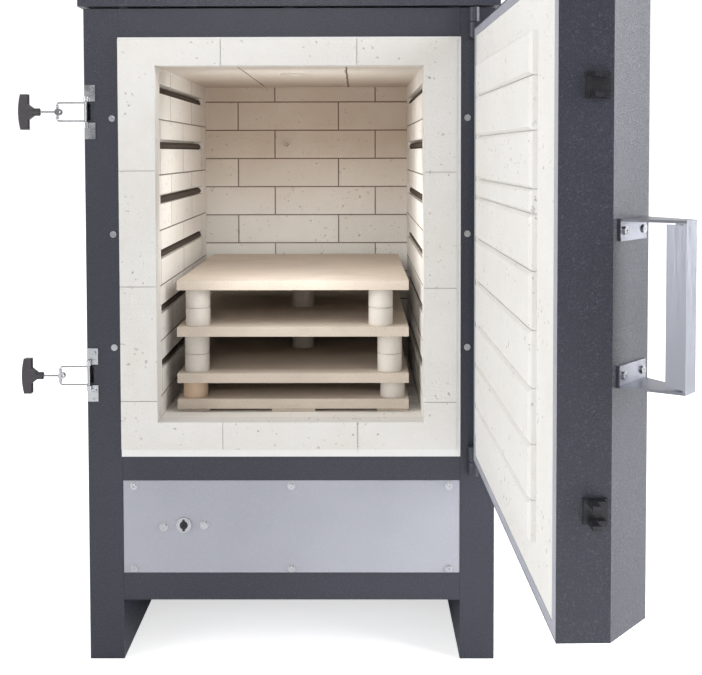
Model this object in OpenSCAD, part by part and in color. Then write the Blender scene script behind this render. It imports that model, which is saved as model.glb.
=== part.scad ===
// Front loading chamber kiln, drawn as separate pieces in one shared frame.
// Axes: X to the right, Y to the back, Z up. The origin is on the floor, in the middle of the four anchor holes.
// The door stands open at rest, as in the picture. All lengths are in millimetres.

/* [Case] */
// Width of the case without the top cover overhang
case_w = 700; // [560:1:860]
// Depth of the case, from the front sheet to the back sheet
case_d = 700; // [560:1:860]
// Thickness of the case sheet
sheet = 2; // [1:0.1:3]
// Width of the folded front posts
post_w = 59; // [40:1:80]
// Height of the top edge of the bottom rail
bottom_rail_top = 151; // [120:1:180]
// Height of the lower edge of the bottom rail
underside = 104; // [60:1:110]
// Height of the lower silver panel
panel_h = 162; // [120:1:200]
// Height of the rail under the brick frame
mid_rail_h = 43; // [25:1:60]
// Height of the rail over the brick frame
top_rail_h = 49; // [30:1:70]
// Height of the top cover
cover_h = 50; // [30:1:90]
// Overhang of the top cover
cover_over = 8; // [0:1:20]

/* [Brickwork] */
// Height of the chamber
chamber_h = 610; // [450:1:800]
// Thickness of the side walls, roof and back wall
brick_t = 114; // [76:1:120]
// Height of one course of the back wall
course_h = 64; // [50:1:76]
// Length of one brick of the back wall
brick_l = 227.5; // [200:0.5:240]
// Thickness of the chamber floor
hearth_t = 64; // [50:1:76]
// Thickness of the insulating board beside the walls
board_t = 5.5; // [3:0.1:12]
// How far the brick frame stands out of the front sheet
frame_proud = 8; // [2:0.5:15]
// Depth of the bricks of the front frame
frame_brick_d = 35; // [25:1:50]
// Height of the bricks over the chamber mouth
lintel_h = 45; // [30:1:70]
// Height of the bricks under the chamber mouth
sill_h = 47; // [30:1:70]
// Width of a brick joint line
joint_w = 1.2; // [0.6:0.1:3]
// Width of a joint line inside the chamber
inner_joint_w = 2; // [0.6:0.1:4]

/* [Heating] */
// Height of a heating element groove
groove_h = 17; // [12:0.5:24]
// Depth of a heating element groove
groove_d = 20; // [14:0.5:28]
// Spacing of the rows of side wall bricks
row_pitch = 96.7; // [80:0.1:110]
// Diameter of the vent hole in the roof
vent_d = 60; // [40:1:80]

/* [Furniture] */
// Gap on each side of a kiln shelf
shelf_gap = 22.5; // [10:0.5:60]
// Gap behind a kiln shelf
shelf_back_gap = 33; // [10:1:120]
// Thickness of a kiln shelf
shelf_t = 17; // [12:0.5:24]
// Diameter of a shelf prop
prop_d = 44; // [30:1:50]
// Height of a tall prop
prop_tall = 66; // [40:1:90]
// Height of a short prop
prop_short = 29; // [20:1:40]
// Height of a spacer under the bottom shelf
spacer_h = 6; // [4:0.5:15]

/* [Door] */
// Angle of the door at rest, measured from the closed door
door_open = 91.2; // [60:1:110]
// Thickness of the door behind its bevel
door_side = 58.5; // [40:1:80]
// Thickness of the bevelled part of the door
bevel_t = 55; // [25:1:60]
// Width of the bevel
bevel_w = 56; // [40:1:80]
// How much taller the door casing is than the chamber
door_extra = 122; // [90:1:130]
// Width of the pale trim round the door bricks
trim_w = 20; // [6:1:30]
// Gap between the raised brick plug and the sides of the chamber mouth
plug_gap = 8.5; // [5:0.5:20]
// How far the plug stands out of the brick border
plug_proud = 10; // [5:0.5:20]
// Diameter of the hinge barrels
barrel_d = 19; // [15:0.5:26]
// Diameter of the hinge pins
pin_d = 10; // [6:0.5:14]

/* [Handle and latches] */
// Length of the door handle
handle_l = 181; // [120:1:240]
// Width of the folded grip of the handle
handle_grip_w = 24; // [18:1:40]
// Depth of the folded grip of the handle
handle_grip_d = 22; // [14:1:30]
// Width of the flanges of the handle
handle_foot_w = 58; // [40:1:66]
// Thickness of the sheet of the handle
handle_t = 3; // [2:0.5:5]
// How far the handle stands off the door
handle_out = 68; // [50:1:80]
// Height of a latch bracket
bracket_h = 92; // [70:1:120]
// Length of a latch bail
bail_l = 49.5; // [40:0.5:60]
// Diameter of the bail wire
wire_d = 3; // [2:0.1:4]
// Length of a pull grip
grip_l = 60; // [40:1:80]

/* [Hidden] */

// Half width of the case and the front plane
hw = case_w / 2;
fy = -case_d / 2;
by = case_d / 2;
// Heights from the floor up
mid_rail_z = bottom_rail_top + panel_h;
strip_z = mid_rail_z + mid_rail_h;
strip_h = 13;
sill_z = strip_z + strip_h;
floor_z = sill_z + sill_h;
roof_z = floor_z + chamber_h;
top_strip_h = 3;
top_rail_z = roof_z + lintel_h + top_strip_h;
case_top = top_rail_z + top_rail_h;
cover_z = case_top + 3;
cover_top = cover_z + cover_h;
// Plan of the brickwork
post_x = hw - post_w;
wall_x = hw - sheet - board_t;
cham_x = wall_x - brick_t;
brick_front = fy - frame_proud;
wall_front = brick_front + frame_brick_d;
cham_back = by - 137;
wall_back = cham_back + brick_t;
side_strip = 7;
rail_flange = wall_front - fy;
// Rows of grooves in the side walls
first_row = floor_z + 36;
groove_z = [for (i = [0:5]) first_row + row_pitch * (i + 0.5) + 6.5];
groove_y0 = fy + 35;
groove_y1 = cham_back - 49;
element_r = 6.5;
// Shelves from the bottom up: height of each underside
z_bottom = floor_z + spacer_h;
z_low = z_bottom + shelf_t + prop_short;
z_mid = z_low + shelf_t + prop_tall;
z_top = z_mid + shelf_t + prop_tall;
shelf_y = fy + 60;
shelf_w = 2 * (cham_x - shelf_gap);
shelf_d = cham_back - shelf_back_gap - shelf_y;
seat = 0.3;
// The vent
vent_y = fy + 187;
// The hinge axis
axis_x = hw - 37;
axis_y = fy - 10;
// The closed door: back plane, hinge edge, free edge and heights
door_back = brick_front - 0.5;
door_x1 = axis_x - 12;
door_x0 = -(hw - 21);
door_h = chamber_h + door_extra;
door_z0 = sill_z - 15;
door_z1 = door_z0 + door_h;
border_d = 22;
plug_z0 = floor_z + 5;
plug_z1 = roof_z - 5;
plug_w = 2 * (cham_x - plug_gap);
plug_cuts = [for (c = [0, 50, 116, 182, 250, 319, 386, 415, 483, 547, 600]) plug_z0 + c / 600 * (plug_z1 - plug_z0)];
// The latches
latch_z = [floor_z + 81, floor_z + 532];
pivot_x = -(hw - 4.5);
pivot_y = fy - 6;
leg_z = 15.5;
eye_r = 6;
eye_t = 7;
eye_off = 2.6;
rod_r = 1.7;
rod_l = 36;
neck_l = 19;
// The lock
lock_x = -186;
lock_z = mid_rail_z - 78;

// Colours of the pieces
c_case = [0.29, 0.32, 0.37];
c_panel = [0.70, 0.71, 0.75];
c_zinc = [0.74, 0.75, 0.76];
c_brick = [0.93, 0.92, 0.89];
c_fibre = [0.97, 0.97, 0.96];
c_shelf = [0.80, 0.73, 0.65];
c_prop = [0.82, 0.66, 0.52];
c_black = [0.06, 0.06, 0.07];

// A box given by its two opposite corners
module box(a, b) translate(a) cube([b[0] - a[0], b[1] - a[1], b[2] - a[2]]);
// A rod along X, Y or Z from a point
module rod_x(p, r, l) translate(p) rotate([0, 90, 0]) cylinder(r = r, h = l);
module rod_y(p, r, l) translate(p) rotate([-90, 0, 0]) cylinder(r = r, h = l);
module rod_z(p, r, l) translate(p) cylinder(r = r, h = l);
// Repeats its child on the left and the right
module both_sides() {
    children();
    mirror([1, 0, 0]) children();
}
// A folded channel along X with its flanges to the back
module rail(z0, z1) {
    box([-post_x + 0.3, fy, z0], [post_x - 0.3, fy + sheet, z1]);
    box([-post_x + 0.3, fy, z0], [post_x - 0.3, fy + rail_flange, z0 + sheet]);
    box([-post_x + 0.3, fy, z1 - sheet], [post_x - 0.3, fy + rail_flange, z1]);
}
// A pan head screw on a plane that faces the front
module pan_screw(x, y, z, r = 4.5) {
    difference() {
        union() {
            rod_y([x, y - 0.8, z], r + 2.2, 0.8);
            rod_y([x, y - 3, z], r, 2.3);
        }
        box([x - 0.6, y - 3.5, z - 2.6], [x + 0.6, y - 1.8, z + 2.6]);
        box([x - 2.6, y - 3.5, z - 0.6], [x + 2.6, y - 1.8, z + 0.6]);
    }
}

// The flat side sheets, with a row of cooling slots low down
module side_sheet() {
    difference() {
        box([hw - sheet, fy + sheet, 0], [hw, by - sheet, case_top]);
        for (i = [0:7])
            box([hw - 5, -150 + 40 * i, 180], [hw + 5, -144 + 40 * i, 250]);
    }
}
module right_side_panel() color(c_case) side_sheet();
module left_side_panel() color(c_case) mirror([1, 0, 0]) side_sheet();

// The folded front posts: a face, and a return beside the bricks
module post() {
    box([post_x, fy, 0], [hw, fy + sheet, case_top]);
    box([post_x, fy, 0], [post_x + sheet, wall_front, case_top]);
}
module right_front_post() color(c_case) post();
// The left post has a slot behind each bail wire
module left_front_post() color(c_case) difference() {
    mirror([1, 0, 0]) post();
    for (z = latch_z)
        box([-hw + 5, fy - 1, z - 14], [-hw + 11, fy + 5, z + 15]);
}

module top_rail() color(c_case) rail(top_rail_z + 0.3, case_top);
module mid_rail() color(c_case) rail(mid_rail_z, strip_z);
module bottom_rail() color(c_case) rail(underside, bottom_rail_top);

// The silver panel in front of the electrical bay: a shallow pan between the rails
module lower_front_panel() color(c_panel) {
    x1 = post_x - 0.6;
    z0 = bottom_rail_top + 0.4;
    z1 = mid_rail_z - 0.4;
    y0 = fy + 0.6;
    difference() {
        union() {
            box([-x1, y0, z0], [x1, y0 + 1.5, z1]);
            box([-x1, y0, z0], [x1, y0 + 14, z0 + 1.5]);
            box([-x1, y0, z1 - 1.5], [x1, y0 + 14, z1]);
            box([-x1, y0, z0], [-x1 + 1.5, y0 + 14, z1]);
            box([x1 - 1.5, y0, z0], [x1, y0 + 14, z1]);
        }
        rod_y([lock_x, y0 - 1, lock_z], 9.05, 4);
    }
}

// Screws of the silver panel, the lock and the front posts
module front_screws() color(c_zinc) {
    for (x = [19 - post_x, 0, post_x - 19])
        for (z = [bottom_rail_top + 8, mid_rail_z - 10])
            pan_screw(x, fy + 0.6, z);
    pan_screw(lock_x - 35, fy + 0.6, lock_z - 3, 5.6);
    pan_screw(lock_x + 35, fy + 0.6, lock_z, 5.6);
    for (z = [937, 739, 544])
        both_sides() pan_screw(hw - 47, fy, z, 3.4);
}

// The lock: a fixed ring on the panel with a sleeve behind it, and a turning barrel
module lock_bezel() color(c_zinc) {
    difference() {
        union() {
            rod_y([lock_x, fy + 0.6 - 2.4, lock_z], 13, 2.4);
            rod_y([lock_x, fy + 0.6, lock_z], 9, 18);
        }
        rod_y([lock_x, fy - 5, lock_z], 7.05, 30);
        difference() {
            rod_y([lock_x, fy - 3, lock_z], 10.5, 1.8);
            rod_y([lock_x, fy - 4, lock_z], 9.3, 4);
        }
    }
}
module lock_barrel() color(c_black) {
    difference() {
        union() {
            rod_y([lock_x, fy - 2.6, lock_z], 7, 20);
            box([lock_x - 2, fy - 4.6, lock_z - 9.5], [lock_x + 2, fy - 2.4, lock_z + 9.5]);
            rod_y([lock_x, fy - 4.6, lock_z], 5.5, 3);
        }
        rod_y([lock_x, fy - 6, lock_z], 1.6, 5);
    }
}

// The runners that carry the case: a foot plate with anchor holes, an inner wall and a top flange
module runner() {
    x0 = post_x;
    x1 = hw - sheet;
    y0 = fy + sheet;
    y1 = by - sheet;
    difference() {
        box([x0 + sheet, y0, 0], [x1, y1, 3]);
        for (y = [50 - by, by - 50])
            rod_z([hw - 30, y, -1], 5.5, 6);
    }
    box([x0, wall_front, 0], [x0 + sheet, y1, underside]);
    box([x0, wall_front, underside - sheet], [x1, y1, underside]);
}
module right_runner() color(c_case) runner();
module left_runner() color(c_case) mirror([1, 0, 0]) runner();

// The tray under the electrical bay and the deck over it
module base_tray() color(c_panel)
    box([-hw + sheet, wall_front, underside], [hw - sheet, by - sheet, underside + sheet]);
module hearth_deck() color(c_panel)
    box([-hw + sheet, wall_front, floor_z - hearth_t - 48], [hw - sheet, by - sheet, floor_z - hearth_t - 45]);

// The back sheet, with cooling slots low down and high up
module back_panel() color(c_case) difference() {
    box([-hw, by - sheet, 0], [hw, by, case_top]);
    for (i = [0:11]) {
        box([-223 + 40 * i, by - 5, 120], [-217 + 40 * i, by + 5, 150]);
        box([-223 + 40 * i, by - 5, 1040], [-217 + 40 * i, by + 5, 1080]);
    }
    box([-hw + 40, by - 5, -1], [hw - 40, by + 5, 60]);
}

// The top cover: a folded pan on small spacers, with the vent collar
module top_cover() color(c_case) {
    x1 = hw + cover_over;
    y0 = fy - cover_over;
    y1 = by + cover_over;
    difference() {
        box([-x1, y0, cover_z], [x1, y1, cover_top]);
        box([-x1 + sheet, y0 + sheet, cover_z + sheet], [x1 - sheet, y1 - sheet, cover_top - sheet]);
        box([-hw + 1, fy + 20, cover_z - 1], [hw - 1, by - 1, cover_z + 5]);
        rod_z([0, vent_y, cover_top - 5], vent_d / 2 + 6, 10);
    }
    for (x = [-hw + 60, -8, hw - 76])
        for (y = [fy + 4, by - 2])
            box([x, y, case_top], [x + 16, y + 8, cover_z]);
}

// Screws of the back sheet and the top cover
module cover_screws() color(c_zinc) {
    for (z = [200, 600, 1000])
        for (x = [-hw + 12, hw - 12])
            rod_y([x, by, z], 4.5, 2.4);
    for (y = [-200, 200])
        both_sides() rod_x([hw + cover_over, y, cover_z + 25], 4.5, 2.4);
}

// The chamber floor, roof and back wall
module hearth_bricks() color(c_brick) difference() {
    box([-wall_x, wall_front, floor_z - hearth_t], [wall_x, wall_back, floor_z]);
    for (y = [0:3])
        box([-wall_x - 1, wall_front + 114 * (y + 1), floor_z - 1.5],
            [wall_x + 1, wall_front + 114 * (y + 1) + joint_w, floor_z + 1]);
}
module roof_bricks() color(c_brick) difference() {
    box([-wall_x, wall_front, roof_z], [wall_x, wall_back, roof_z + brick_t]);
    rod_z([0, vent_y, roof_z - 1], vent_d / 2, brick_t + 2);
    for (x = [-92, 95])
        box([x, wall_front - 1, roof_z - 1], [x + inner_joint_w, wall_back + 1, roof_z + 3]);
}
module back_wall_bricks() color(c_brick) difference() {
    box([-wall_x, cham_back, floor_z], [wall_x, wall_back, roof_z]);
    for (i = [1:9])
        box([-wall_x - 1, cham_back - 1, floor_z + course_h * i],
            [wall_x + 1, cham_back + 3, floor_z + course_h * i + inner_joint_w]);
    for (i = [0:9]) {
        shift = (i % 2 == 0) ? -155.5 : -72;
        top = min(floor_z + course_h * (i + 1), roof_z + 1);
        for (k = [0:1])
            box([shift + brick_l * k, cham_back - 1, floor_z + course_h * i],
                [shift + brick_l * k + inner_joint_w, cham_back + 3, top]);
    }
}
// A side wall: six grooves for the heating elements, and the joints between the bricks
module side_wall() difference() {
    box([cham_x, wall_front, floor_z], [wall_x, cham_back, roof_z]);
    for (z = groove_z)
        box([cham_x - 1, groove_y0, z - groove_h / 2], [cham_x + groove_d, groove_y1, z + groove_h / 2]);
    for (i = [0:5]) {
        z0 = first_row + row_pitch * i;
        cut = (i % 2 == 0) ? [266, 496] : [138, 368];
        box([cham_x - 1, wall_front - 1, z0], [cham_x + 3, cham_back + 1, z0 + inner_joint_w]);
        for (c = cut)
            box([cham_x - 1, fy + c, z0], [cham_x + 3, fy + c + inner_joint_w, min(z0 + row_pitch, roof_z + 1)]);
    }
}
module right_wall_bricks() color(c_brick) side_wall();
module left_wall_bricks() color(c_brick) mirror([1, 0, 0]) side_wall();

// The brick frame round the chamber mouth
module lintel_bricks() color(c_brick) difference() {
    box([-post_x, brick_front, roof_z], [post_x - side_strip, wall_front, roof_z + lintel_h]);
    for (x = [-117, 114])
        box([x, brick_front - 1, roof_z - 1], [x + joint_w, brick_front + 3, roof_z + lintel_h + 1]);
}
module sill_bricks() color(c_brick) difference() {
    box([-post_x, brick_front, sill_z], [post_x - side_strip, wall_front, floor_z]);
    for (x = [-117, 114])
        box([x, brick_front - 1, sill_z - 1], [x + joint_w, brick_front + 3, floor_z + 1]);
}
module left_jamb_bricks() color(c_brick) difference() {
    box([-post_x, brick_front, floor_z], [-cham_x, wall_front, roof_z]);
    for (z = [452, 649, 847])
        box([-post_x - 1, brick_front - 1, z], [-cham_x + 1, brick_front + 3, z + joint_w]);
}
module right_jamb_bricks() color(c_brick) difference() {
    box([cham_x, brick_front, floor_z], [post_x - side_strip, wall_front, roof_z]);
    for (z = [450, 646, 844])
        box([cham_x - 1, brick_front - 1, z], [post_x + 1, brick_front + 3, z + joint_w]);
}
// Fibre packing between the brick frame and the case
module fibre_strips() color(c_fibre) {
    box([-post_x, brick_front + 3, strip_z], [post_x, wall_front, sill_z]);
    box([post_x - side_strip, brick_front + 3, sill_z], [post_x, wall_front, roof_z + lintel_h]);
    box([-post_x, brick_front + 3, roof_z + lintel_h], [post_x, wall_front, top_rail_z]);
}
// Insulating board round the brickwork
module insulation_boards() color(c_fibre) {
    z0 = floor_z - hearth_t;
    x1 = hw - sheet;
    both_sides() box([wall_x, wall_front, z0], [x1, wall_back, roof_z + brick_t]);
    box([-x1, wall_front, z0 - 45], [x1, wall_back, z0]);
    box([-x1, wall_back, z0 - 45], [x1, by - sheet, roof_z + brick_t]);
    difference() {
        box([-x1, wall_front, roof_z + brick_t], [x1, by - sheet, roof_z + brick_t + board_t]);
        rod_z([0, vent_y, roof_z + brick_t - 1], vent_d / 2, board_t + 2);
    }
}

// The heating elements, as rods of the outer size of their coils, lying in the grooves
module elements() {
    for (z = groove_z)
        rod_y([cham_x + 9, groove_y0 + 4, z - groove_h / 2 + element_r], element_r, groove_y1 - groove_y0 - 4);
}
module right_elements() color([0.35, 0.33, 0.32]) elements();
module left_elements() color([0.35, 0.33, 0.32]) mirror([1, 0, 0]) elements();

// Terminal studs on the back sheet, under a screwed cover
module element_terminals() color(c_zinc) {
    for (z = groove_z) {
        both_sides() rod_y([70, by, z], 4, 22);
        both_sides() rod_y([70, by + 10, z], 8, 5);
    }
}
module terminal_cover() color(c_case) {
    difference() {
        box([-150, by, 452], [150, by + 40, 1022]);
        box([-150 + sheet, by - 1, 452 + sheet], [150 - sheet, by + 40 - sheet, 1022 - sheet]);
        for (i = [0:9])
            for (z = [472, 962])
                box([-110 + 24 * i, by + 30, z], [-104 + 24 * i, by + 50, z + 40]);
    }
    for (z = [512, 962])
        both_sides() difference() {
            box([150, by, z - 12], [164, by + sheet, z + 12]);
            rod_y([157, by - 1, z], 2.5, 6);
        }
}
// The inlet for the supply cable
module cable_gland() color(c_black) {
    difference() {
        union() {
            rod_y([250, by, 190], 16, 5);
            rod_y([250, by + 5, 190], 13, 10);
            rod_y([250, by + 15, 190], 11, 9);
        }
        rod_y([250, by - 1, 190], 7, 30);
    }
}
// The tip of the thermocouple on the back wall
module thermocouple() color([0.85, 0.83, 0.78]) rod_y([-45, cham_back - 25, floor_z + 481], 5, 25);

// The lift off vent bung: its stem hangs in the vent hole and its head lies on the top cover
module vent_bung() color(c_brick) {
    rod_z([0, vent_y, roof_z + 60], vent_d / 2 - 3, cover_top - roof_z - 58);
    rod_z([0, vent_y, cover_top + seat], vent_d / 2 + 14, 16);
    rod_z([0, vent_y, cover_top + 14], 12, 18);
}

// Low spacers on the chamber floor
module bottom_spacers() color(c_shelf) {
    box([-38, shelf_y + 4, floor_z], [39, shelf_y + 44, z_bottom]);
    box([-204, shelf_y + 8, floor_z], [-150, shelf_y + 60, z_bottom]);
    box([150, shelf_y + 8, floor_z], [204, shelf_y + 60, z_bottom]);
    box([-38, shelf_y + shelf_d - 70, floor_z], [39, shelf_y + shelf_d - 30, z_bottom]);
}
module shelf(z) color(c_shelf)
    box([-shelf_w / 2, shelf_y, z + seat], [shelf_w / 2, shelf_y + shelf_d, z + shelf_t]);
module shelf_bottom() shelf(z_bottom);
module shelf_low() shelf(z_low);
module shelf_mid() shelf(z_mid);
module shelf_top() shelf(z_top);

// A tier of three round props under a shelf; a tall one is two stacked pieces
module tier(z, h, xl, xr) color(c_prop) {
    r = prop_d / 2;
    for (p = [[xl, fy + 90], [xr, fy + 90], [5, fy + 310]]) {
        if (h > 40) {
            rod_z([p[0], p[1], z - h + seat], r, h / 2 - 1.2);
            rod_z([p[0], p[1], z - h / 2 - 1.5], r - 2, 2);
            rod_z([p[0], p[1], z - h / 2 + 0.3], r, h / 2);
        } else {
            rod_z([p[0], p[1], z - h + seat], r, h);
        }
    }
}
module props_low() tier(z_low, prop_short, -178, 178);
module props_mid() tier(z_mid, prop_tall, -175, 173);
module props_top() tier(z_top, prop_tall, -173, 157);

// Turns its child about the hinge axis from the closed door to the door at rest
module swung() translate([axis_x, axis_y, 0]) rotate([0, 0, door_open]) translate([-axis_x, -axis_y, 0]) children();

// Fixed hinge barrels on the front post, each with its pin
module fixed_barrel(z0, pin_z0, pin_z1) {
    difference() {
        union() {
            rod_z([axis_x, axis_y, z0], barrel_d / 2, 24);
            box([axis_x - 8, axis_y, z0], [axis_x + 8, fy, z0 + 24]);
        }
    }
    rod_z([axis_x, axis_y, pin_z0], pin_d / 2, pin_z1 - pin_z0);
}
module hinge_barrels() color(c_case) {
    fixed_barrel(door_z1 + 12, door_z1 - 16, door_z1 + 12);
    fixed_barrel(door_z0 - 29, door_z0 - 6, door_z0 + 22);
}
// Barrels of the door, bored for the pins, with a welded lug each
module moving_barrel(z0) difference() {
    union() {
        rod_z([axis_x, axis_y, z0], barrel_d / 2, 25);
        box([door_x1, axis_y - 8, z0], [axis_x - 2, axis_y - 1, z0 + 25]);
    }
    rod_z([axis_x, axis_y, z0 - 1], pin_d / 2 + 0.05, 30);
}
module door_barrels() color(c_case) swung() {
    moving_barrel(door_z1 - 14);
    moving_barrel(door_z0 - 4);
}

// The outer form of the door, shrunk by g: square at the top and bottom, bevelled on the upright sides
module door_form(g) {
    y0 = door_back - door_side;
    y1 = y0 - bevel_t;
    translate([0, 0, door_z0 + g]) linear_extrude(door_h - 2 * g)
        polygon([[door_x0 + g, door_back], [door_x1 - g, door_back], [door_x1 - g, y0],
            [door_x1 - bevel_w, y1 + g], [door_x0 + bevel_w, y1 + g], [door_x0 + g, y0]]);
}
// The sheet casing, open towards the bricks
module door_casing() color(c_case) swung() difference() {
    door_form(0);
    door_form(sheet);
    translate([0, 0.5, 0]) door_form(sheet);
}
// The pale trim round the edge of the bricks
module door_trim() color(c_panel) swung() difference() {
    box([door_x0 + sheet, door_back - 1.5, door_z0 + sheet], [door_x1 - sheet, door_back, door_z1 - sheet]);
    box([door_x0 + trim_w, door_back - 9, door_z0 + trim_w - 5], [door_x1 - trim_w, door_back + 9, door_z1 - trim_w + 5]);
}
// The brick and board that fill the casing, seen as a flat border round the plug
module door_border() color(c_brick) swung() {
    intersection() {
        door_form(sheet + 0.2);
        box([-500, door_back - 200, 0], [500, door_back - 1.7, 1500]);
    }
    box([door_x0 + trim_w + 0.3, door_back - 1.7, door_z0 + trim_w - 4.7],
        [door_x1 - trim_w - 0.3, door_back - 0.5, door_z1 - trim_w + 4.7]);
}
// The raised plug: one bevelled brick for each course
module plug_course_brick(z0, z1) {
    x0 = -plug_w / 2;
    x1 = plug_w / 2;
    y0 = door_back - 0.5;
    y1 = y0 + plug_proud;
    c = 4;
    intersection() {
        translate([0, 0, z0]) linear_extrude(z1 - z0)
            polygon([[x0, y0], [x0, y1 - c], [x0 + c, y1], [x1 - c, y1], [x1, y1 - c], [x1, y0]]);
        translate([x0, 0, 0]) rotate([90, 0, 90]) linear_extrude(plug_w)
            polygon([[y0, z0], [y0, z1], [y1 - c, z1], [y1, z1 - c], [y1, z0 + c], [y1 - c, z0]]);
    }
}
module door_plug() color(c_brick) swung() {
    for (i = [0:len(plug_cuts) - 2])
        plug_course_brick(plug_cuts[i], plug_cuts[i + 1] - joint_w);
    box([-plug_w / 2 + 2, door_back - 0.5, plug_z0], [plug_w / 2 - 2, door_back + 3, plug_z1 - joint_w]);
}

// Two forked keepers on the free side of the door, for the wire bails
module keeper(z) {
    y0 = door_back - 54;
    difference() {
        union() {
            box([door_x0 - 3, y0, z - 14], [door_x0, y0 + 26, z + 14]);
            box([pivot_x - 6.5, y0 + 13, z - 13], [door_x0, y0 + 21, z + 13]);
            box([pivot_x - 6.5, y0 + 11.8, z - 13], [pivot_x - 3, y0 + 14, z + 13]);
            box([door_x0 - 9, y0 + 3, z - 13], [door_x0, y0 + 21, z + 13]);
        }
        box([-hw - 40, y0 - 8, z - 7.8], [door_x0 - 3, y0 + 30, z + 7.8]);
    }
}
module door_keepers() color(c_black) swung() for (z = latch_z) keeper(z);

// The handle: a folded sheet grip on two tapered arms, each with a flange screwed to the bevel
module handle_body() {
    a = handle_l / 2;
    f = handle_foot_w / 2;
    g = handle_grip_w / 2;
    t = handle_t;
    for (s = [-1, 1]) {
        translate([0, 0, s > 0 ? a - t : -a]) linear_extrude(t)
            polygon([[-f, 0], [f, 0], [g, -handle_out], [-g, -handle_out]]);
        difference() {
            box([-f, -t, s > 0 ? a - 24 : -a], [f, 0, s > 0 ? a : -a + 24]);
            for (x = [-20.5, 20.5])
                rod_y([x, -t - 1, s * (a - 13)], 2.6, t + 2);
        }
    }
    box([-g, -handle_out, -a], [g, -handle_out + t, a]);
    for (x = [-g, g - t])
        box([x, -handle_out, -a + 5], [x + t, -handle_out + handle_grip_d, a - 5]);
}
module on_bevel() swung()
    translate([door_x0 + bevel_w / 2, door_back - door_side - bevel_t / 2, floor_z + 301])
        rotate([0, 0, -atan2(bevel_t, bevel_w)]) children();
module door_handle() color(c_zinc) on_bevel() handle_body();
module handle_screws() color(c_zinc) on_bevel() for (s = [-1, 1])
    for (x = [-20.5, 20.5]) {
        z = s * (handle_l / 2 - 13);
        difference() {
            rod_y([x, -handle_t - 2.6, z], 4.6, 2.6);
            box([x - 3, -handle_t - 4, z - 0.5], [x + 3, -handle_t - 1.6, z + 0.5]);
        }
        rod_y([x, -handle_t, z], 2.5, handle_t);
    }

// Latch brackets: two flanges with curls round the bail wire, an opening between them
module bracket(z) {
    h = bracket_h / 2;
    difference() {
        union() {
            for (s = [-1, 1]) {
                box([-hw + 1, fy - 2, z + (s > 0 ? 18 : -h)], [-hw + 19, fy, z + (s > 0 ? h : -18)]);
                rod_z([pivot_x, pivot_y, z + (s > 0 ? 17.6 : -26)], 4.3, 8.4);
            }
            rod_y([-hw + 10.5, fy - 4.4, z + 37], 5, 4);
            rod_y([-hw + 11.5, fy - 4.4, z - 28], 5, 4);
        }
        rod_z([pivot_x, pivot_y, z - 40], wire_d / 2 + 0.05, 80);
        box([-hw + 8, fy - 3, z + 26], [-hw + 14, fy - 0.6, z + 29]);
        box([-hw + 9, fy - 3, z - 42], [-hw + 14, fy - 0.6, z - 39.5]);
        box([-hw + 7.5, fy - 6, z + 36.4], [-hw + 13.5, fy - 3.4, z + 37.6]);
        box([-hw + 8.5, fy - 6, z - 28.6], [-hw + 14.5, fy - 3.4, z - 27.4]);
    }
}
module latch_brackets() color(c_zinc) for (z = latch_z) bracket(z);

// A quarter bend of the wire in the plane of X and Z, turned by a
module bend(p, a) translate(p) rotate([90, a, 0]) rotate_extrude(angle = 90) translate([4, 0]) circle(wire_d / 2);
// The wire bail: a pivot wire through the curls, two legs and a cross wire
module bail(z) {
    r = wire_d / 2;
    x1 = pivot_x - bail_l;
    rod_z([pivot_x, pivot_y, z - 27], r, 54);
    for (s = [-1, 1])
        rod_x([x1 + 4, pivot_y, z + s * leg_z], r, bail_l - 4);
    rod_z([x1, pivot_y, z - leg_z + 4], r, 2 * leg_z - 8);
    for (s = [-1, 1])
        rod_z([x1, pivot_y, z + (s > 0 ? 6.6 : -11.4)], 2.7, 4.8);
    bend([x1 + 4, pivot_y, z + leg_z - 4], -90);
    bend([x1 + 4, pivot_y, z - leg_z + 4], -180);
}
module upper_bail() color(c_zinc) bail(latch_z[1]);
module lower_bail() color(c_zinc) bail(latch_z[0]);

// The pull rod: a round eye with a see-through hole, turning on the cross wire, and a thin rod
module pull_rod(z) {
    x1 = pivot_x - bail_l;
    xe = x1 + eye_off;
    difference() {
        union() {
            rod_y([xe, pivot_y - eye_t / 2, z], eye_r, eye_t);
            rod_x([xe - eye_r - rod_l, pivot_y, z], rod_r, rod_l + 2);
        }
        rod_z([x1, pivot_y, z - 10], wire_d / 2 + 0.06, 20);
        rod_y([xe + 2.2, pivot_y - 10, z], 2.1, 20);
    }
}
module upper_rod() color(c_zinc) pull_rod(latch_z[1]);
module lower_rod() color(c_zinc) pull_rod(latch_z[0]);

// The pull grip: a neck on the rod and a crossbar with rounded ends
module grip(z) {
    x1 = pivot_x - bail_l + eye_off - eye_r - 26;
    difference() {
        union() {
            rod_x([x1 - neck_l, pivot_y, z], 6.4, neck_l);
            translate([x1 - neck_l, pivot_y - 6, z]) rotate([-90, 0, 0]) linear_extrude(12) {
                intersection() {
                    translate([-16, -grip_l / 2]) square([16, grip_l]);
                    translate([109, 0]) circle(125);
                }
                polygon([[0, -13], [0, 13], [9, 6.2], [9, -6.2]]);
            }
        }
        rod_x([x1 - 10.1, pivot_y, z], rod_r + 0.06, 15);
    }
}
module upper_grip() color(c_black) grip(latch_z[1]);
module lower_grip() color(c_black) grip(latch_z[0]);

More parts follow.
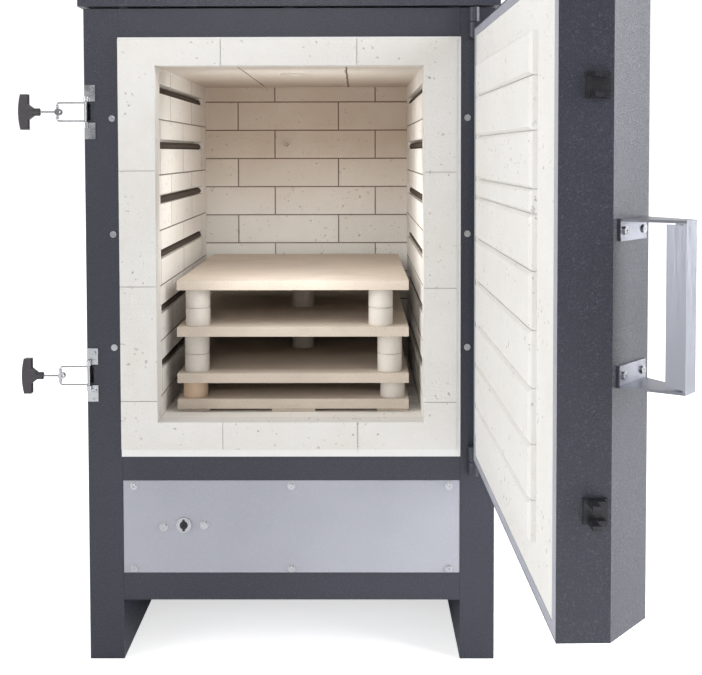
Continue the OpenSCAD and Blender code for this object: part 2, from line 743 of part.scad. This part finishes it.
left_side_panel();
right_side_panel();
left_front_post();
right_front_post();
top_rail();
mid_rail();
bottom_rail();
lower_front_panel();
front_screws();
lock_bezel();
lock_barrel();
left_runner();
right_runner();
base_tray();
hearth_deck();
back_panel();
top_cover();
cover_screws();
hearth_bricks();
roof_bricks();
back_wall_bricks();
left_wall_bricks();
right_wall_bricks();
lintel_bricks();
sill_bricks();
left_jamb_bricks();
right_jamb_bricks();
fibre_strips();
insulation_boards();
left_elements();
right_elements();
element_terminals();
terminal_cover();
cable_gland();
thermocouple();
vent_bung();
bottom_spacers();
shelf_bottom();
shelf_low();
shelf_mid();
shelf_top();
props_low();
props_mid();
props_top();
hinge_barrels();
door_barrels();
door_casing();
door_trim();
door_border();
door_plug();
door_keepers();
door_handle();
handle_screws();
latch_brackets();
upper_bail();
lower_bail();
upper_rod();
lower_rod();
upper_grip();
lower_grip();
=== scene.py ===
import math

import bpy
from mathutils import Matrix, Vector


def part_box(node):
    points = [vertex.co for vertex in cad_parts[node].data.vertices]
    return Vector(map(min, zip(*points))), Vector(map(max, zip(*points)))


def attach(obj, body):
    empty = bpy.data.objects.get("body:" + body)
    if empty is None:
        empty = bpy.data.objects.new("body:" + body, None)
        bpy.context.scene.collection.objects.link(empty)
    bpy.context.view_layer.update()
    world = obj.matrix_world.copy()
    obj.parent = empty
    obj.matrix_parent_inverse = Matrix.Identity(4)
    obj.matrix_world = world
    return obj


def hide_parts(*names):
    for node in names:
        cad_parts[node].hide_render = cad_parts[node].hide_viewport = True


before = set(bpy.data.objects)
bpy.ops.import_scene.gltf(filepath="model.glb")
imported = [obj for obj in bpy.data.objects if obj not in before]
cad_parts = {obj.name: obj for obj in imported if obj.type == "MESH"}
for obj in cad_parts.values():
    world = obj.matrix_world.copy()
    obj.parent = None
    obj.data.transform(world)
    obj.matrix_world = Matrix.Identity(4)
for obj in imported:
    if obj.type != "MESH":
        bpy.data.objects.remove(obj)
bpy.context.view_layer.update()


# Case: side sheets, front posts, rails, runners, back sheet, top cover and the casing of the door.
# All are folded from mild steel sheet, screwed or welded together, and powder coated in a dark
# blue-grey that has a fine fleck.
class Socket:
    """One output of a shader node, which can stand in plain arithmetic."""

    def __init__(self, nodes, output):
        self.nodes, self.output = nodes, output

    def __add__(self, other):
        return self.nodes.math("ADD", self, other)

    def __sub__(self, other):
        return self.nodes.math("SUBTRACT", self, other)

    def __rsub__(self, other):
        return self.nodes.math("SUBTRACT", other, self)

    def __mul__(self, other):
        return self.nodes.math("MULTIPLY", self, other)

    def __truediv__(self, other):
        return self.nodes.math("DIVIDE", self, other)

    def __rtruediv__(self, other):
        return self.nodes.math("DIVIDE", other, self)

    __radd__, __rmul__ = __add__, __mul__

    def floor(self):
        return self.nodes.math("FLOOR", self)

    def fraction(self):
        return self.nodes.math("FRACT", self)

    def absolute(self):
        return self.nodes.math("ABSOLUTE", self)

    def maximum(self, other):
        return self.nodes.math("MAXIMUM", self, other)

    def minimum(self, other):
        return self.nodes.math("MINIMUM", self, other)

    def less_than(self, other):
        return self.nodes.math("LESS_THAN", self, other)

    def modulo(self, other):
        return self.nodes.math("FLOORED_MODULO", self, other)

    def ramp(self, low, high, at_low=0.0, at_high=1.0):
        sockets = dict(enumerate((self, low, high, at_low, at_high)))
        return self.nodes.add("ShaderNodeMapRange", {"interpolation_type": "SMOOTHSTEP"}, sockets)


class Nodes:
    """Adds nodes to one shader tree."""

    def __init__(self, tree):
        self.tree = tree

    def add(self, kind, settings=None, sockets=None, output=0):
        node = self.tree.nodes.new(kind)
        for name, value in (settings or {}).items():
            setattr(node, name, value)
        for name, value in (sockets or {}).items():
            if isinstance(value, Socket):
                self.tree.links.new(value.output, node.inputs[name])
            else:
                node.inputs[name].default_value = value
        return Socket(self, node.outputs[output])

    def math(self, operation, *values):
        return self.add("ShaderNodeMath", {"operation": operation}, dict(enumerate(values)))

    def split(self, vector):
        first = self.add("ShaderNodeSeparateXYZ", sockets={"Vector": vector})
        return [Socket(self, output) for output in first.output.node.outputs]

    def mix(self, share, first, second):
        ends = [end if isinstance(end, Socket) else (*end, 1) for end in (first, second)]
        sockets = {0: share, 6: ends[0], 7: ends[1]}
        return self.add("ShaderNodeMix", {"data_type": "RGBA"}, sockets, output=2)


class Finish(Nodes):
    """One material. Its patterns are placed in metres in the shared frame."""

    def __init__(self, name, colour, roughness, metallic=0.0):
        self.material = bpy.data.materials.new(name)
        self.material.use_nodes = True
        super().__init__(self.material.node_tree)
        self.shader = self.tree.nodes["Principled BSDF"]
        self.shader.inputs["Base Color"].default_value = (*colour, 1)
        self.shader.inputs["Roughness"].default_value = roughness
        self.shader.inputs["Metallic"].default_value = metallic
        self.place = self.add("ShaderNodeTexCoord", output="Object")

    def noise(self, scale, detail=3, stretch=(1, 1, 1)):
        place = self.add("ShaderNodeMapping", sockets={"Vector": self.place, "Scale": stretch})
        sockets = {"Vector": place, "Scale": scale, "Detail": detail, "Roughness": 0.6}
        return self.add("ShaderNodeTexNoise", sockets=sockets)

    def cells(self, scale):
        return self.add("ShaderNodeTexVoronoi", sockets={"Vector": self.place, "Scale": scale})

    def chance(self, *place):
        vector = self.add("ShaderNodeCombineXYZ", sockets=dict(zip("XYZ", place)))
        return self.add("ShaderNodeTexWhiteNoise", sockets={"Vector": vector})

    def feed(self, name, value):
        self.tree.links.new(value.output, self.shader.inputs[name])

    def bump(self, height, strength, distance):
        sockets = {"Strength": strength, "Distance": distance, "Height": height}
        self.feed("Normal", self.add("ShaderNodeBump", sockets=sockets))


def dress(finish, *nodes):
    for name in nodes:
        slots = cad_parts[name].data.materials
        slots.clear()
        slots.append(finish.material)


def shaded(colour, factor):
    return tuple(part * factor for part in colour)


def powder_coat(name, colour, roughness, fleck):
    paint = Finish(name, colour, roughness)
    clouds = paint.noise(2.2).ramp(0.3, 0.7)
    grain = paint.noise(640, detail=2)
    flecks = paint.noise(420, detail=1).ramp(0.56, 0.74)
    base = paint.mix(clouds, shaded(colour, 0.92), shaded(colour, 1.08))
    paint.feed("Base Color", paint.mix(flecks * 0.55, base, fleck))
    paint.feed("Roughness", grain.ramp(0.3, 0.7, roughness - 0.06, roughness + 0.12))
    paint.bump(grain, strength=0.45, distance=0.0008)
    return paint


case_blue_grey, case_fleck = (0.034, 0.036, 0.052), (0.10, 0.105, 0.13)
case_paint = powder_coat("case_paint", case_blue_grey, 0.30, case_fleck)
dress(case_paint, "left_side_panel", "right_side_panel", "left_front_post", "right_front_post",
      "top_rail", "mid_rail", "bottom_rail", "left_runner", "right_runner", "back_panel", "top_cover",
      "terminal_cover", "hinge_barrels", "door_barrels", "door_casing")


# Silver sheets: the screwed-on lower panel, the base tray, the deck over the electrical bay, and
# the trim round the bricks of the door. They are folded steel sheet in a silver powder coat.
silver, silver_fleck = (0.40, 0.41, 0.465), (0.50, 0.51, 0.56)
silver_paint = powder_coat("silver_paint", silver, 0.42, silver_fleck)
dress(silver_paint, "lower_front_panel", "base_tray", "hearth_deck", "door_trim")


# Packing: strips of white ceramic fibre between the brick frame and the case, and insulating
# boards of the same fibre behind the brickwork. They are cut to size and held by the bricks.
fibre_white, dull_fibre, bright_fibre = (0.86, 0.86, 0.85), (0.80, 0.80, 0.79), (0.90, 0.90, 0.89)
fibre = Finish("fibre", fibre_white, 0.98)
lint = fibre.noise(160, detail=4, stretch=(1, 1, 3))
fibre.feed("Base Color", fibre.mix(lint, dull_fibre, bright_fibre))
fibre.bump(lint, strength=0.5, distance=0.001)
dress(fibre, "fibre_strips", "insulation_boards")


# Chamber floor: white insulating brick, which is light and full of open pores. Each lining brick
# has a stain and dark flaws. A wall adds its own joints, the tone of each brick, and its scorching.
chamber_white, chamber_stain = (0.86, 0.84, 0.80), (0.81, 0.77, 0.71)
# This brown is heat browning on the walls and roof, and painted shade on the foot of the vent bung.
scorch_and_shade, joint_shadow = (0.44, 0.32, 0.22), (0.17, 0.11, 0.07)


def insulating_brick(name, colour, stain, joints=None, heat_and_shade=None):
    brick = Finish(name, colour, 0.95)
    place = brick.split(brick.place)
    clouds = brick.noise(9, detail=4).ramp(0.35, 0.75)
    grain = brick.noise(260).ramp(0.35, 0.7)
    between_pores = brick.cells(300).ramp(0.06, 0.20)
    smooth_patches = brick.noise(60, detail=2).ramp(0.42, 0.60, 1.0, 0.0)
    solid = (between_pores + smooth_patches).minimum(1.0)
    face = brick.mix(clouds * 0.6, colour, stain)
    if joints:
        line, tone = joints(brick, *place)
        face = brick.mix(tone * 0.35, face, shaded(stain, 0.80))
    # Heat browning on walls and roof; on the vent bung the same brown is painted shade.
    if heat_and_shade:
        face = brick.mix(heat_and_shade(brick, *place), face, scorch_and_shade)
    face = brick.mix((1.0 - solid) * 0.55, face, shaded(stain, 0.42))
    flaws = brick.noise(115, detail=2).ramp(0.655, 0.70) * brick.noise(14, detail=2).ramp(0.40, 0.62)
    face = brick.mix(flaws * 0.75, face, shaded(stain, 0.40))
    if joints:
        face = brick.mix(line * 0.85, face, joint_shadow)
    brick.feed("Base Color", face)
    brick.bump(grain * 0.5 + solid * 0.5, strength=0.5, distance=0.0012)
    return brick


dress(insulating_brick("hearth_brick", chamber_white, chamber_stain), "hearth_bricks")


# Back wall: flat courses of the same brick, laid dry, with the end joints of each course shifted
# from the one below. Heat has browned it more and more towards the roof.
floor_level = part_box("hearth_bricks")[1][2]
course_height, back_brick_length, back_joint_half = 0.064, 0.2275, 0.001
back_first_end, back_shift, back_seed = -0.1545, 0.0835, 1.0


# A joint runs along each whole number of a count of bricks; half_width is a share of one brick.
def joint_line(count, half_width):
    return (count.fraction() - 0.5).absolute().ramp(0.5 - half_width, 0.5 - half_width * 0.35)


def back_joints(brick, x, y, z):
    up = (z - (floor_level + back_joint_half)) / course_height
    course = up.floor()
    along = (x - back_first_end - course.modulo(2.0) * back_shift) / back_brick_length
    line = joint_line(up, 0.030).maximum(joint_line(along, 0.0085))
    return line, brick.chance(along.floor(), course, back_seed)


def back_heat(brick, x, y, z):
    return z.ramp(0.66, 0.93) * (0.50 + 0.4 * brick.noise(5))


back_brick = insulating_brick("back_brick", chamber_white, chamber_stain, back_joints, back_heat)
dress(back_brick, "back_wall_bricks")


# Side walls: rows of taller bricks, each with a groove cut along it for a heating element. Their
# end joints step from row to row. They are whiter than the back, and browned near the roof.
side_white, side_stain = (0.92, 0.90, 0.86), (0.88, 0.84, 0.79)
row_height, row_start, side_brick_length = 0.0967, floor_level + 0.0368, 0.230
side_first_end, side_shift = -0.083, 0.128


def side_joints(brick, x, y, z):
    up = (z - row_start) / row_height
    row = up.floor()
    along = (y - side_first_end + row.modulo(2.0) * side_shift) / side_brick_length
    line = joint_line(up, 0.018).maximum(joint_line(along, 0.0085))
    return line * 0.8, brick.chance(along.floor(), row, x.less_than(0.0))


def side_heat(brick, x, y, z):
    return z.ramp(0.62, 1.0) * (0.08 + 0.28 * y.ramp(-0.25, 0.25))


side_brick = insulating_brick("side_brick", side_white, side_stain, side_joints, side_heat)
dress(side_brick, "left_wall_bricks", "right_wall_bricks")


# Roof: three long bricks side by side, with the vent hole through the middle one. The joint on
# the left is straight, and the one on the right has crumbled into a bent line.
left_joint, right_joint, joint_bend, roof_brick_width = -0.091, 0.103, 0.014, 0.187
joint_core, straight_edge, bent_edge, roof_seeds = 0.0006, 0.0016, 0.0026, (3.0, 4.0)


def roof_joints(brick, x, y, z):
    bent = x + joint_bend * brick.noise(30)
    straight_line = (x - left_joint).absolute().ramp(joint_core, straight_edge, 1.0, 0.0)
    bent_line = (bent - right_joint).absolute().ramp(joint_core, bent_edge, 1.0, 0.0)
    tone = brick.chance(((x - left_joint) / roof_brick_width).floor(), *roof_seeds)
    return straight_line.maximum(bent_line), tone


def roof_heat(brick, x, y, z):
    return 0.30 + 0.42 * y.ramp(-0.30, 0.25)


roof_brick = insulating_brick("roof_brick", chamber_white, chamber_stain, roof_joints, roof_heat)
dress(roof_brick, "roof_bricks")


# Vent bung: a loose plug turned from the same brick, with a head by which it is lifted out of the
# vent. Its foot, which sits in the vent hole, is darkened brown as painted shade.
def bung_foot_painted_shade(brick, x, y, z):
    return z.ramp(1.03, 1.12, 0.9, 0.0)


dress(insulating_brick("bung_brick", chamber_white, chamber_stain, heat_and_shade=bung_foot_painted_shade), "vent_bung")


# Brick frame: the lintel, sill and jamb bricks round the mouth of the chamber. They are cut from
# a greyer insulating brick, butted together, and stand a little proud of the front sheet.
frame_grey, frame_stain = (0.80, 0.785, 0.76), (0.75, 0.72, 0.67)
frame_brick = insulating_brick("firebrick", frame_grey, frame_stain)
dress(frame_brick, "lintel_bricks", "sill_bricks", "left_jamb_bricks", "right_jamb_bricks")


# Door bricks: a border of brick that fills the casing, and the raised plug in courses that enters
# the mouth. Both are cut from insulating brick and held by the casing.
door_white, door_stain = (0.80, 0.79, 0.765), (0.76, 0.74, 0.70)
dress(insulating_brick("door_brick", door_white, door_stain), "door_border", "door_plug")


# Heating elements: coils of resistance wire that lie loose in the grooves of both side walls. They
# are dark with oxide. They stand for the plain rods of the CAD model and are just as thick.
bare_wire, old_oxide, new_oxide = (0.085, 0.070, 0.060), (0.06, 0.045, 0.035), (0.15, 0.12, 0.10)
wire = Finish("element_wire", bare_wire, 0.62, metallic=0.6)
wire.feed("Base Color", wire.mix(wire.noise(300), old_oxide, new_oxide))
dress(wire, "left_elements", "right_elements")

low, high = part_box("right_elements")
rod_radius, coil_radius, wire_radius, pitch = 0.0065, 0.0054, 0.0011, 0.0080
rows, points_a_turn, lead_in = 6, 10, 0.004
row_spacing = (high[2] - low[2] - 2 * rod_radius) / (rows - 1)
turns = int((high[1] - low[1]) / pitch) - 1
for side in (-1, 1):
    coils = bpy.data.curves.new("coils", "CURVE")
    coils.dimensions = "3D"
    coils.bevel_depth = wire_radius
    coils.bevel_resolution = 1
    middle = side * (low[0] + high[0]) / 2
    for row in range(rows):
        level = low[2] + rod_radius + row * row_spacing
        spline = coils.splines.new("POLY")
        spline.points.add(turns * points_a_turn)
        for number, point in enumerate(spline.points):
            angle = number * 2 * math.pi / points_a_turn
            point.co = (middle + coil_radius * math.cos(angle),
                        low[1] + lead_in + number * pitch / points_a_turn,
                        level + coil_radius * math.sin(angle), 1)
    coil = bpy.data.objects.new("coils_left" if side < 0 else "coils_right", coils)
    bpy.context.scene.collection.objects.link(coil)
    coils.materials.append(wire.material)
    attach(coil, "kiln")
    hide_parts("left_elements" if side < 0 else "right_elements")


# Thermocouple: the tip of a closed ceramic sheath, which is pushed through the back wall. It is
# brown from firing, and smoother than the kiln furniture that is cast of like clay.
warm_clay = (0.66, 0.46, 0.30)


def fired_clay(name, colour, speck, roughness=0.85, warmth=None):
    clay = Finish(name, colour, roughness)
    clouds = clay.noise(7).ramp(0.3, 0.7)
    specks = 1.0 - clay.cells(260).ramp(0.08, 0.24)
    face = clay.mix(clouds, colour, shaded(colour, 0.88))
    if warmth:
        face = clay.mix(warmth(clay), face, warm_clay)
    clay.feed("Base Color", clay.mix(specks * 0.55, face, speck))
    clay.bump(clay.noise(300) + specks * 0.5, strength=0.5, distance=0.0010)
    return clay


sheath_brown, sheath_speck = (0.42, 0.36, 0.30), (0.20, 0.16, 0.12)
dress(fired_clay("sheath", sheath_brown, sheath_speck, roughness=0.6), "thermocouple")


# Shelves: flat slabs of cast refractory clay with dark specks, sand coloured. The bottom one lies
# on low spacers on the chamber floor, and each of the others stands on three props.
shelf_sand, shelf_speck = (0.66, 0.57, 0.48), (0.33, 0.25, 0.18)
shelf = fired_clay("kiln_shelf", shelf_sand, shelf_speck)
dress(shelf, "shelf_bottom", "shelf_low", "shelf_mid", "shelf_top", "bottom_spacers")


# Props: round posts of pressed refractory clay, three to a tier, which only stand in their places.
# They are paler than the shelves. The lowest one on the left fired warmer.
prop_cream, prop_speck = (0.72, 0.67, 0.61), (0.50, 0.40, 0.32)
left_part, top_margin, warm_share = -0.1, 0.001, 0.8


def lowest_left(clay):
    x, y, z = clay.split(clay.place)
    return x.less_than(left_part) * z.less_than(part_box("props_low")[1][2] + top_margin) * warm_share


prop = fired_clay("kiln_prop", prop_cream, prop_speck, warmth=lowest_left)
dress(prop, "props_low", "props_mid", "props_top")


# Fasteners and latches: screws, terminal studs, the lock ring, latch brackets, wire bails and pull
# rods. All are of zinc plated steel, bright with faint clouds, and screwed on or hooked together.
def bare_metal(name, colour, roughness, scale, stretch=(1, 1, 1)):
    metal = Finish(name, colour, roughness, metallic=1.0)
    wear = metal.noise(scale, stretch=stretch)
    metal.feed("Base Color", metal.mix(wear, shaded(colour, 0.80), colour))
    metal.feed("Roughness", wear.ramp(0.2, 0.8, roughness - 0.08, roughness + 0.12))
    return metal


zinc_grey = (0.60, 0.61, 0.64)
zinc = bare_metal("zinc", zinc_grey, 0.24, scale=45)
dress(zinc, "front_screws", "lock_bezel", "cover_screws", "element_terminals", "latch_brackets",
      "upper_bail", "lower_bail", "upper_rod", "lower_rod", "handle_screws")


# Handle: a bar folded from steel sheet on two tapered arms, screwed to the door. It is brushed
# along its length.
handle_steel, brush_stretch = (0.265, 0.275, 0.31), (1, 1, 0.03)
dress(bare_metal("handle_metal", handle_steel, 0.36, scale=900, stretch=brush_stretch), "door_handle")


# Keepers and lock barrel: small steel pieces in a black coat. The keepers are forked and fixed to
# the edge of the door, where the bails hook over them, and the barrel turns in its ring.
coat_black, black_fleck = (0.016, 0.016, 0.020), (0.05, 0.05, 0.06)
dress(powder_coat("black_metal", coat_black, 0.32, black_fleck), "door_keepers", "lock_barrel")


# Grips and cable gland: moulded in black plastic with a fine even grain. The crossbar grips turn
# on the ends of the pull rods, and the gland is screwed into the back.
plastic_black, dull_black, worn_black = (0.03, 0.03, 0.033), (0.040, 0.036, 0.042), (0.075, 0.068, 0.075)
plastic = Finish("black_plastic", plastic_black, 0.45)
moulding = plastic.noise(350, detail=2)
plastic.feed("Base Color", plastic.mix(moulding, dull_black, worn_black))
plastic.bump(moulding, strength=0.3, distance=0.0005)
dress(plastic, "cable_gland", "upper_grip", "lower_grip")


# Floor: a plain pale sheet under the kiln, which keeps the shadow. A glow that only the camera
# sees brings it near white and lights nothing.
floor_size, floor_glow = 40, 0.62
paper_white, dull_paper, bright_paper = (0.9, 0.9, 0.9), (0.90, 0.90, 0.90), (0.93, 0.93, 0.93)
bpy.ops.mesh.primitive_plane_add(size=floor_size, location=(0, 0, 0))
floor = bpy.context.object
floor.name = "floor"
paper = Finish("floor", paper_white, 0.9)
paper.feed("Base Color", paper.mix(paper.noise(2), dull_paper, bright_paper))
seen = paper.add("ShaderNodeLightPath", output="Is Camera Ray")
paper.feed("Emission Color", paper.mix(seen, (0.0, 0.0, 0.0), (1.0, 1.0, 1.0)))
paper.shader.inputs["Emission Strength"].default_value = floor_glow
floor.data.materials.append(paper.material)


# Studio: white walls that light the kiln from behind and beside it, and are darker behind the
# camera, on the side that the front of the case faces. The camera itself sees plain white.
front_light, back_light, seen_white = 0.22, 1.05, 1.1
front_edge, back_edge = -0.75, 0.35
world = bpy.data.worlds.new("world")
bpy.context.scene.world = world
world.use_nodes = True
studio = Nodes(world.node_tree)
depth = studio.split(studio.add("ShaderNodeTexCoord", output="Generated"))[1]
walls = depth.ramp(front_edge, back_edge, front_light, back_light)
seen = studio.add("ShaderNodeLightPath", output="Is Camera Ray")
background = world.node_tree.nodes["Background"]
background.inputs["Color"].default_value = (1, 1, 1, 1)
world.node_tree.links.new(walls.maximum(seen * seen_white).output, background.inputs["Strength"])


# Lamps: soft boxes in front, at the left and at the right. The left one faces the inside of the
# open door, and the right one its bevel and handle. A small one in the mouth of the chamber stands
# in for the light that falls into it.
def lamp(name, place, target, size, power):
    light = bpy.data.lights.new(name, "AREA")
    light.shape = "RECTANGLE"
    light.size, light.size_y = size
    light.energy = power
    stand = bpy.data.objects.new(name, light)
    stand.location = place
    stand.rotation_euler = (Vector(target) - Vector(place)).to_track_quat("-Z", "Y").to_euler()
    bpy.context.scene.collection.objects.link(stand)


lamp("front", place=(-0.35, -3.4, 1.8), target=(0, -0.36, 0.80), size=(0.5, 0.4), power=13)
lamp("left", place=(-2.8, -1.9, 1.3), target=(0.2, -0.5, 0.75), size=(1.8, 2.2), power=41)
lamp("right", place=(2.8, -1.3, 1.3), target=(0.40, -0.9, 0.75), size=(1.4, 2.2), power=105)
lamp("mouth", place=(0, -0.345, 0.82), target=(0, 0.2, 0.66), size=(0.26, 0.28), power=0.86)


# Camera: its place, turn, lens and shift were fitted to the edges of the case, the chamber and
# the courses of the back wall in the picture.
pitch_down, roll, turn = 2.04, 0.13, 0.29
optics = bpy.data.cameras.new("cam")
optics.lens = 50.92
optics.sensor_width = 36
optics.shift_y = -0.213
optics.clip_end = 60
camera = bpy.data.objects.new("cam", optics)
camera.location = (0.113, -2.044, 0.878)
camera.rotation_euler = [math.radians(angle) for angle in (90 - pitch_down, roll, turn)]
bpy.context.scene.collection.objects.link(camera)
bpy.context.scene.camera = camera
bpy.context.scene.view_settings.view_transform = "Standard"
